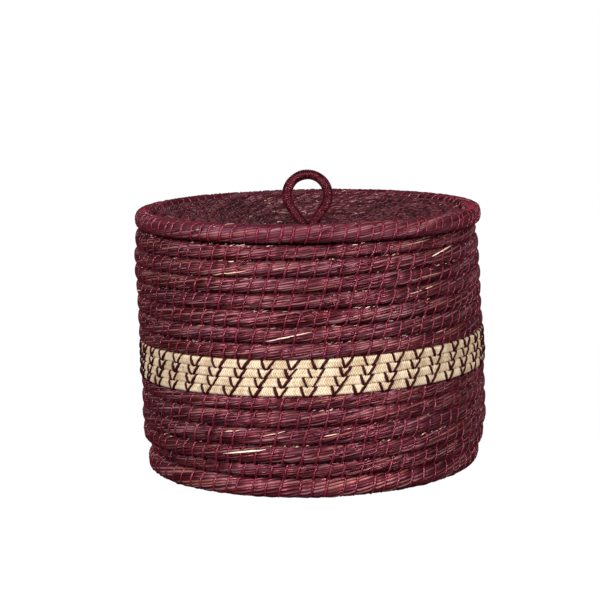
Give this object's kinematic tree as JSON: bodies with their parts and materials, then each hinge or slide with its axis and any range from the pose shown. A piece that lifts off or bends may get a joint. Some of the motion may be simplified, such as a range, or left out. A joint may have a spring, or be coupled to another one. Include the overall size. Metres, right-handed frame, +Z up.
{
  "type": "coiled lidded basket",
  "caption": "Round coiled grass basket with a pale braided band and a lift-off dished lid that has a cord loop handle.",
  "frame": {"origin": "middle of the underside of the base, on the surface that the basket stands on", "axes": "+Z up along the basket's axis; the handle loop lies in the XZ plane; the front faces -Y"},
  "size_m": [0.3028, 0.3025, 0.259],
  "materials": {
    "dyed_grass": "satin",
    "pale_braid": "matte",
    "wrapped_cord": "satin"
  },
  "bodies": {
    "basket": {"base_coil": "dyed_grass", "bottom_row_coil": "dyed_grass", "lower_wall_coil": "dyed_grass", "pale_braid_under": "pale_braid", "pale_braid_over": "pale_braid", "upper_wall_coil": "dyed_grass"},
    "lid": {"lid_rim_coil": "dyed_grass", "lid_coil": "dyed_grass", "lid_seat_ring": "dyed_grass", "handle_loop": "wrapped_cord", "handle_knot": "wrapped_cord"}
  },
  "joints": [
    {"name": "lid_lift", "type": "slide", "parent": "basket", "child": "lid", "axis": [0, 0, 1], "range_m": [0, 0.22]}
  ]
}
